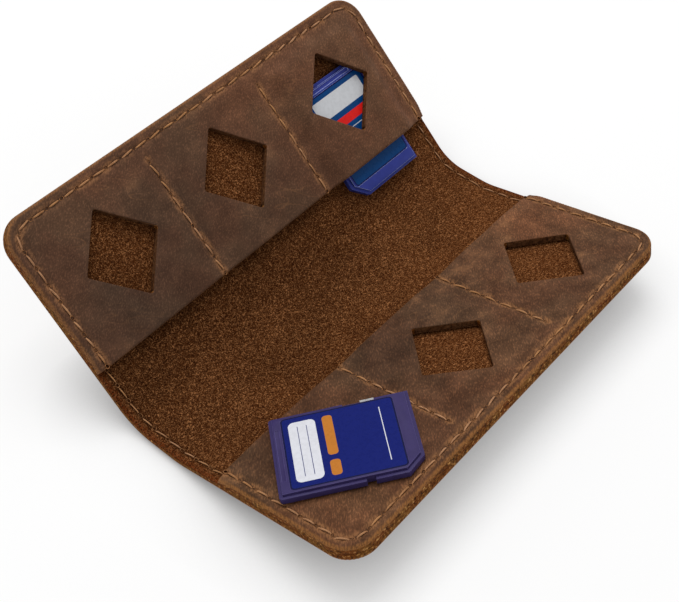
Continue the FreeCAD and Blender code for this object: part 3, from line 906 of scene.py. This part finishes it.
def makeStitchTree():
    # stitches and their holes along every run of the mesh, whose points say which way is up
    tree, given, made = newGroup(
        "stitchRuns", "GeometryNodeTree",
        {"Geometry": ["Geometry"], "Float": ["pitch", "gap", "width", "holeWidth", "slant", "sway", "uneven"],
         "Object": ["stitch", "hole"], "Material": ["thread", "holeFinish"], "Int": ["seed"]},
        {"Geometry": ["Geometry"]})
    runs = addWire(tree, "GeometryNodeMeshToCurve", {"Mesh": given["Geometry"]})
    spline = addNode(tree, "GeometryNodeSplineLength")
    length = Wire(spline, "Length")
    count = (length / given["pitch"]).reckon("ROUND").reckon("MAXIMUM", 1.0)
    halves = {"Curve": runs, "Count": count * 2.0 + 1.0}
    evened = addWire(tree, "GeometryNodeResampleCurve", halves, mode="COUNT")
    odd = addWire(tree, "GeometryNodeSplineParameter", output="Index").reckon("MODULO", 2.0)
    up = addWire(tree, "GeometryNodeInputNamedAttribute", {"Name": "up"}, "Attribute",
                 data_type="FLOAT_VECTOR")
    ways = {0: up, 1: addWire(tree, "GeometryNodeInputTangent")}
    heading = addWire(tree, "FunctionNodeAxesToRotation", ways, primary_axis="Z", secondary_axis="X")
    swayed = given["slant"] + chance(given["sway"], given["seed"])
    lean = addWire(tree, "ShaderNodeCombineXYZ", {"Z": swayed})
    leaning = addWire(tree, "FunctionNodeRotateRotation", {0: heading, 1: lean}, rotation_space="LOCAL")
    stretch = chance(given["uneven"], given["seed"] + 7.0) + 1.0
    step = length * 2.0 / (Wire(spline, "Point Count") - 1.0)
    size = addWire(tree, "ShaderNodeCombineXYZ", {
        "X": (step - given["gap"]) * stretch, "Y": given["width"], "Z": given["width"]})
    joined = addNode(tree, "GeometryNodeJoinGeometry")
    for test, model, scale, finish in (("GREATER_THAN", "stitch", size, "thread"),
                                       ("LESS_THAN", "hole", given["holeWidth"], "holeFinish")):
        shape = addWire(tree, "GeometryNodeObjectInfo", {"Object": given[model]}, "Geometry")
        placed = addWire(tree, "GeometryNodeInstanceOnPoints", {
            "Points": evened, "Selection": odd.reckon(test, 0.5), "Instance": shape, "Rotation": leaning,
            "Scale": scale})
        real = addWire(tree, "GeometryNodeRealizeInstances", {"Geometry": placed})
        painted = addWire(tree, "GeometryNodeSetMaterial", {"Geometry": real, "Material": given[finish]})
        plug(tree, painted, joined.inputs["Geometry"])
    plug(tree, Wire(joined), made["Geometry"])
    return tree


stitchTree = makeStitchTree()
stitchModel, holeModel = stitchShape(), holeShape()


def sew(name, runs, width, seed):
    # runs are lists of places and ups; the result is a plain mesh
    form = seamForm
    places, ups, links = [], [], []
    for place, up in runs:
        links += [(len(places) + i, len(places) + i + 1) for i in range(len(place) - 1)]
        places += [tuple(p * mm) for p in place]
        ups += [tuple(u) for u in up]
    mesh = bpy.data.meshes.new(name)
    mesh.from_pydata(places, links, [])
    layer = mesh.attributes.new("up", "FLOAT_VECTOR", "POINT")
    layer.data.foreach_set("vector", np.array(ups, np.float32).ravel())
    piece = addObject(name, mesh)
    modifier = piece.modifiers.new("stitches", "NODES")
    modifier.node_group = stitchTree
    values = {"width": width * mm, "uneven": form["uneven"], "stitch": stitchModel, "hole": holeModel,
              "thread": thread, "holeFinish": stitchHole, "seed": seed}
    values.update({key: form[key] * mm for key in ("pitch", "gap", "holeWidth")})
    values.update({key: math.radians(form[key]) for key in ("slant", "sway")})
    for item in stitchTree.interface.items_tree:
        if item.name in values:
            modifier[item.identifier] = values[item.name]
    graph = bpy.context.evaluated_depsgraph_get()
    made = bpy.data.meshes.new_from_object(piece.evaluated_get(graph))
    piece.modifiers.clear()
    piece.data = made
    return piece


def panelRun(side, points):
    flap = flaps[side]
    x, y = np.array(points).T
    level = np.full(len(x), case["panel"] - panelForm["groove"] / 2)
    return onPanel(flap, x, y, level), np.tile(np.array(flap["up"]), (len(x), 1))


def coverRun(side, points, inside):
    flap = flaps[side]
    x, run = np.array(points).T
    sink = coverForm["groove"] / 2
    level = np.full(len(x), -sink if inside else sink - case["cover"])
    up = coverUp(flap, run)
    return onCover(flap, x, run, level), up if inside else -up


def sewFlap(side, seed):
    flap = flaps[side]
    form = seamForm
    inset, mouth, step, width = case["seamInset"], flap["mouthRun"], form["step"], form["width"]
    end = halfLength - inset
    dividers = [linePoints((place, form["foot"]), (place, dividerEnd), step) for place in dividerPlaces]
    legs = [linePoints((x, 0), (x, mouth), form["spineStep"]) for x in (-end, end)]
    outside = [edgePath(0, flap["reach"], inset, step)]
    outside += [[(x, y + mouth) for x, y in divider] for divider in dividers]
    around = edgePath(form["foot"], case["depth"], inset, step)
    seams = []
    for label, runs, thick, node in (
            ("Edge", [panelRun(side, around)], width, side + "_edge_seam"),
            ("Divider", [panelRun(side, divider) for divider in dividers], width, side + "_divider_seams"),
            ("Spine", [coverRun(side, leg, True) for leg in legs], form["spineWidth"], "spine_seam"),
            ("Back", [coverRun(side, run, False) for run in outside], width, "spine_seam")):
        seam = sew(side + label + "Stitches", runs, thick, seed + len(seams))
        if node == "spine_seam":
            bendOverFold(seam, side)
        else:
            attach(seam, flap["body"])
        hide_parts(node)
        seams.append(seam)
    return seams


seams = sewFlap("right", seed=10) + sewFlap("left", seed=20)
for model in (stitchModel, holeModel):
    bpy.data.objects.remove(model)
cornerCut = (2 - math.pi / 2) * case["corner"] ** 2
for side, flap in flaps.items():
    panel, cover = panels[side], covers[side]
    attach(panel, flap["body"])
    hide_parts(side + "_pocket_panel")
    bendOverFold(cover, side)
    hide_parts(side + "_cover_leaf", side + "_crease", "cover_spine")
    flap["reach"] * mm
    (case["length"] * flap["reach"] - cornerCut) * mm * mm
print("seams sewn:", {seam.name: len(seam.data.polygons) for seam in seams})


# memory cards

cardForm = {
    "width": 24.0,
    "thick": 2.1,
    "labelLength": 25.6,
    "labelWidth": 21.4,
    "labelSetback": 2.7,
    "labelRound": 1.0,
    "labelThick": 0.1,
    # how far the film stands proud, how deep its rim is eased, and its size on top as a share
    "labelProud": 0.015,
    "labelEase": 0.03,
    "labelTop": 0.996,
    "bevel": 0.18,
    # degrees between faces from which an edge is bevelled, and from which it is drawn sharp
    "bevelFrom": 35.0,
    "sharpFrom": 50.0,
    "lockFoot": 1.0,
    "lockRise": 0.15,
    "lockDent": 0.25,
    "lockDentWorn": 0.07,
}
# each card's paler edge colour is a painted highlight on its bevelled edges
cardLook = {
    "loose_card": {"shell": (54, 45, 90), "worn": (86, 77, 128), "label": (4, 22, 105), "rim": (6, 10, 58),
                   "accent": (194, 120, 44), "field": (222, 223, 230)},
    "stored_card": {"shell": (48, 58, 136), "worn": (170, 180, 226), "label": (0, 60, 116),
                    "rim": (4, 14, 76), "accent": (222, 34, 30), "field": (206, 208, 212)},
}
partLook = {"lock": (172, 171, 170), "board": (24, 92, 58), "chip": (28, 28, 31),
            "dullGold": (196, 152, 74), "brightGold": (230, 196, 120)}
# plain print on the labels, in shares of their width and length: a writing field, bars and a rule
labelGround = {"ink": "label", "across": (0.018, 0.982), "ahead": (0.014, 0.986), "round": 0.7}
labelPrint = {
    "loose_card": (
        {"ink": "field", "across": (0.08, 0.92), "ahead": (0.06, 0.30), "round": 1.3},
        {"ink": "label", "across": (0.15, 0.85), "ahead": (0.137, 0.143), "round": 0.05},
        {"ink": "label", "across": (0.15, 0.85), "ahead": (0.217, 0.223), "round": 0.05},
        {"ink": "accent", "across": (0.08, 0.64), "ahead": (0.36, 0.45), "round": 0.8},
        {"ink": "accent", "across": (0.71, 0.92), "ahead": (0.36, 0.45), "round": 0.8},
        {"ink": "field", "across": (0.12, 0.88), "ahead": (0.862, 0.87), "round": 0.06},
    ),
    "stored_card": (
        {"ink": "field", "across": (0.08, 0.92), "ahead": (0.06, 0.27), "round": 0.6},
        {"ink": "accent", "across": (0.08, 0.92), "ahead": (0.33, 0.42), "round": 0.2},
        {"ink": "field", "across": (0.08, 0.92), "ahead": (0.47, 0.478), "round": 0.06},
    ),
}
cardPlace = {
    "loose_card": {"side": "right", "along": 38.0, "across": 19.1, "lift": 2.5, "turn": 49.5, "back": 16.0},
    "stored_card": {"side": "left", "along": 38.0, "across": 24.5, "lift": 0.125, "turn": 180.0, "back": 0.0},
}


def cardMatrix(card):
    # a card's own axes: x across it, y to its contact end, z to the label
    place = cardPlace[card]
    flap = flaps[place["side"]]
    turn = math.radians(place["turn"])
    across = flap["along"] * math.cos(turn) + flap["outward"] * math.sin(turn)
    ahead = flap["up"].cross(across)
    origin = (flap["base"] + flap["along"] * place["along"] + flap["outward"] * place["across"]
              + flap["up"] * place["lift"] - ahead * place["back"])
    matrix = Matrix((across, ahead, flap["up"])).transposed().to_4x4()
    matrix.translation = origin * mm
    return matrix


def makeMouldedGroup():
    # moulded plastic with a fine spark texture and handling marks
    tree, given, made = newGroup(
        "mouldedSkin", "ShaderNodeTree",
        {"Vector": ["place"], "Color": ["body", "paler"], "Float": ["glossy", "dull"]},
        {"Color": ["colour"], "Float": ["roughness", "height"]})
    marks = cloud(given["place"], 320.0, 5.0, 0.7)
    plug(tree, mixColour(marks.spread(0.35, 0.75) * 0.5, given["body"], given["paler"]), made["colour"])
    plug(tree, marks.spread(0.3, 0.7, given["glossy"], given["dull"]), made["roughness"])
    plug(tree, cloud(given["place"], 5200.0, 3.0), made["height"])
    return tree


mouldedGroup = makeMouldedGroup()


def makeMoulding(name, colour, roughness):
    body = tint(*colour)
    look = {"body": body, "paler": tuple(min(1.0, part * 1.35 + 0.006) for part in body),
            "glossy": roughness - 0.06, "dull": roughness + 0.1}
    return groupFinish(name, mouldedGroup, look, specular=0.12, strength=0.25, depth=0.00008)


def makeGold():
    material, tree = newMaterial("contactGold")
    wipe = cloud(objectPlace(tree), 1800.0)
    colour = mixColour(wipe, tint(*partLook["dullGold"]), tint(*partLook["brightGold"]))
    return paint(material, colour, wipe.spread(0.3, 0.7, 0.2, 0.4), specular=0.5, metallic=1.0)


def raiseThumb(shape, card):
    # the write-protect slide's top comes up level with the lid, and its thumb dent is worn shallow
    place = cardMatrix(card)
    form = cardForm
    for vert in shape.verts:
        spot = place.inverted() @ vert.co
        if spot.z > form["lockFoot"] * mm:
            spot.z += form["lockRise"] * mm
        depth = spot.x + form["width"] / 2 * mm
        if 0.1 * form["lockDent"] * mm < depth < form["lockDent"] * 1.05 * mm:
            spot.x = (form["lockDentWorn"] - form["width"] / 2) * mm
        vert.co = place @ spot


def turnsOver(edge, degrees):
    return edge.calc_face_angle() > math.radians(degrees)


def roundedCopy(node, name, finishes):
    # a CAD piece with its sharp edges broken, the bevels in its second finish: on a card's shell a paler painted
    # highlight
    form = cardForm
    shape = bmesh.new()
    shape.from_mesh(frame["nodes"][node].data)
    if node.endswith("_lock"):
        raiseThumb(shape, node.removesuffix("_lock"))
    bmesh.ops.remove_doubles(shape, verts=shape.verts, dist=1e-6)
    bmesh.ops.dissolve_limit(shape, angle_limit=math.radians(1), verts=shape.verts, edges=shape.edges)
    sharp = [edge for edge in shape.edges if len(edge.link_faces) == 2 and turnsOver(edge, form["bevelFrom"])]
    broken = bmesh.ops.bevel(shape, geom=sharp, offset=form["bevel"] * mm, segments=2, affect="EDGES",
                             profile=0.5, clamp_overlap=True)
    # the bevels take the second finish, the painted highlight on the card shells
    for face in broken["faces"]:
        face.material_index = 1
    bmesh.ops.triangulate(shape, faces=[face for face in shape.faces if len(face.verts) > 4])
    for face in shape.faces:
        face.smooth = True
    for edge in shape.edges:
        edge.smooth = len(edge.link_faces) == 2 and not turnsOver(edge, form["sharpFrom"])
    mesh = meshFrom(shape, name)
    for finish in finishes:
        mesh.materials.append(finish)
    return addObject(name, mesh)


def printed(across, ahead, patch):
    # 1 inside a round-cornered patch of the label, 0 outside it
    beyond = []
    for place, size, (low, high) in ((across, cardForm["labelWidth"], patch["across"]),
                                     (ahead, cardForm["labelLength"], patch["ahead"])):
        half = (high - low) / 2 * size - patch["round"]
        away = (place - (low + high) / 2).reckon("ABSOLUTE")
        past = (away * size - half).reckon("MAXIMUM", 0.0)
        beyond.append(past * past)
    return (beyond[0] + beyond[1]).reckon("LESS_THAN", patch["round"] ** 2)


def makeLabelFinish(card):
    # a printed film, a little worn
    look = tinted(cardLook[card])
    material, tree = newMaterial(card.replace("_card", "") + "Label")
    flat = addWire(tree, "ShaderNodeUVMap", uv_map="label")
    parts = addNode(tree, "ShaderNodeSeparateXYZ", {"Vector": flat})
    ink = cloud(objectPlace(tree), 900.0, 4.0, 0.6)
    base = look["rim"]
    for patch in (labelGround, *labelPrint[card]):
        base = mixColour(printed(Wire(parts, "X"), Wire(parts, "Y"), patch), base, look[patch["ink"]])
    colour = shaded(base, ink.spread(0.3, 0.7, 0.96, 1.04))
    gloss = ink.spread(0.3, 0.7, 0.24, 0.34)
    return paint(material, colour, gloss, specular=0.1, relief=(ink, 0.03, 0.0001))


def makeLabel(card):
    # the film itself, with round corners and its own flat map
    form = cardForm
    width, length, radius = form["labelWidth"], form["labelLength"], form["labelRound"]
    low, high = form["labelSetback"], form["labelSetback"] + length
    middle = (low + high) / 2
    right, far, near = width / 2 - radius, high - radius, low + radius
    centres = [(right, far), (-right, far), (-right, near), (right, near)]
    path = roundedLoop(centres, [math.pi / 2 * turn for turn in range(5)], radius, math.inf)
    shape = bmesh.new()
    flat = shape.loops.layers.uv.new("label")
    lower, upper = form["thick"] - form["labelThick"], form["thick"] + form["labelProud"]
    rings = [[shape.verts.new((x * shrink, (y - middle) * shrink + middle, z)) for x, y in path]
             for shrink, z in ((1.0, lower), (1.0, upper - form["labelEase"]), (form["labelTop"], upper))]
    for a, b in zip(rings, rings[1:]):
        for i in range(len(path)):
            n = (i + 1) % len(path)
            shape.faces.new((a[i], a[n], b[n], b[i]))
    shape.faces.new(rings[-1])
    shape.faces.new(rings[0][::-1])
    for face in shape.faces:
        for loop in face.loops:
            loop[flat].uv = (loop.vert.co.x / width + 0.5, (loop.vert.co.y - low) / length)
    shape.transform(Matrix.Scale(mm, 4))
    shape.transform(cardMatrix(card))
    mesh = meshFrom(shape, card)
    mesh.materials.append(makeLabelFinish(card))
    return addObject(card.replace("_card", "") + "CardLabel", mesh)


lockGrey = makeMoulding("lockGrey", partLook["lock"], 0.45)
innerFinish = {
    "contacts": makeGold(),
    "board": makeMoulding("boardGreen", partLook["board"], 0.5),
    "memory_chip": makeMoulding("chipBlack", partLook["chip"], 0.5),
}
for card, look in cardLook.items():
    short = card.replace("_card", "")
    # the shell's second finish is the paler painted highlight for its bevels
    shell = (makeMoulding(short + "Shell", look["shell"], 0.42),
             makeMoulding(short + "PaintedHighlightEdge", look["worn"], 0.4))
    for part, finishes, body, slot in (("lower_shell", shell, card, "card_shell"),
                                       ("upper_shell", shell, card, "card_shell"),
                                       ("lock", (lockGrey, lockGrey), card + "_lock", "card_lock")):
        piece = roundedCopy(card + "_" + part, short + "Card" + part.title().replace("_", ""), finishes)
        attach(piece, body)
        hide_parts(card + "_" + part)
    label = makeLabel(card)
    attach(label, card)
    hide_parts(card + "_label")
    for part, finish in innerFinish.items():
        node = frame["nodes"][card + "_" + part]
        node.data.materials.clear()
        node.data.materials.append(finish)
print("cards dressed")


# floor, light and camera

studio = {
    "white": (1.0, 1.0, 1.0, 1.0),
    "floorGlow": 0.64,
    # how far from the case the floor is still shaded by it
    "shadeReach": 0.019,
    "floorDrop": 0.3,
    "floorHalf": 1.5,
    "sky": 0.54,
    "key": {"place": (0.28, 0.42, 1.30), "aim": (0.0, 0.0, 0.02), "size": 0.9, "power": 10.5},
    "camera": {"place": (-159.98, -131.27, 238.44), "turn": (40.873, -1.582, -49.669), "lens": 66.095},
}


def seenRay(tree):
    # 1 where a surface is looked at or mirrored, 0 where it only gives light
    rays = addNode(tree, "ShaderNodeLightPath")
    mirrored = Wire(rays, "Is Glossy Ray").reckon("MAXIMUM", Wire(rays, "Is Transmission Ray"))
    return Wire(rays, "Is Camera Ray").reckon("MAXIMUM", mirrored)


def makeFloor():
    # a white floor that keeps a light shadow
    half, low = studio["floorHalf"], -studio["floorDrop"] * mm
    mesh = bpy.data.meshes.new("floor")
    mesh.from_pydata([(-half, -half, low), (half, -half, low), (half, half, low), (-half, half, low)], [],
                     [(0, 1, 2, 3)])
    material, tree = newMaterial("paleFloor")
    paint(material, studio["white"], roughness=0.9, specular=0.0)
    reach = {"Distance": studio["shadeReach"]}
    shade = addWire(tree, "ShaderNodeAmbientOcclusion", reach, "AO", samples=16)
    glow = addWire(tree, "ShaderNodeEmission", {"Color": studio["white"], "Strength": shade})
    share = seenRay(tree) * studio["floorGlow"]
    plain = Wire(tree.nodes["Principled BSDF"])
    mixed = addWire(tree, "ShaderNodeMixShader", {0: share, 1: plain, 2: glow})
    plug(tree, mixed, tree.nodes["Material Output"].inputs["Surface"])
    mesh.materials.append(material)
    addObject("floor", mesh)


def makeLight(name):
    values = studio[name]
    data = bpy.data.lights.new(name, "AREA")
    data.shape = "DISK"
    data.size = values["size"]
    data.energy = values["power"]
    light = addObject(name, data)
    light.location = values["place"]
    aim = Vector(values["aim"]) - Vector(values["place"])
    light.rotation_euler = aim.to_track_quat("-Z", "Y").to_euler()


def makeWorld():
    # an even sky for the light, and plain white where it is seen or mirrored
    world = bpy.data.worlds.new("studio")
    world.use_nodes = True
    tree = world.node_tree
    sky = tree.nodes["Background"].inputs
    plug(tree, studio["white"], sky["Color"])
    plug(tree, seenRay(tree).spread(0.0, 1.0, studio["sky"], 1.0), sky["Strength"])
    bpy.context.scene.world = world


def makeCamera():
    values = studio["camera"]
    data = bpy.data.cameras.new("camera")
    data.sensor_width = 36.0
    data.lens = values["lens"]
    data.clip_start = 0.01
    camera = addObject("camera", data)
    camera.location = Vector(values["place"]) * mm
    camera.rotation_euler = [math.radians(turn) for turn in values["turn"]]
    bpy.context.scene.camera = camera


makeFloor()
makeLight("key")
makeWorld()
makeCamera()
bpy.context.scene.view_settings.view_transform = "Standard"
print("studio set")
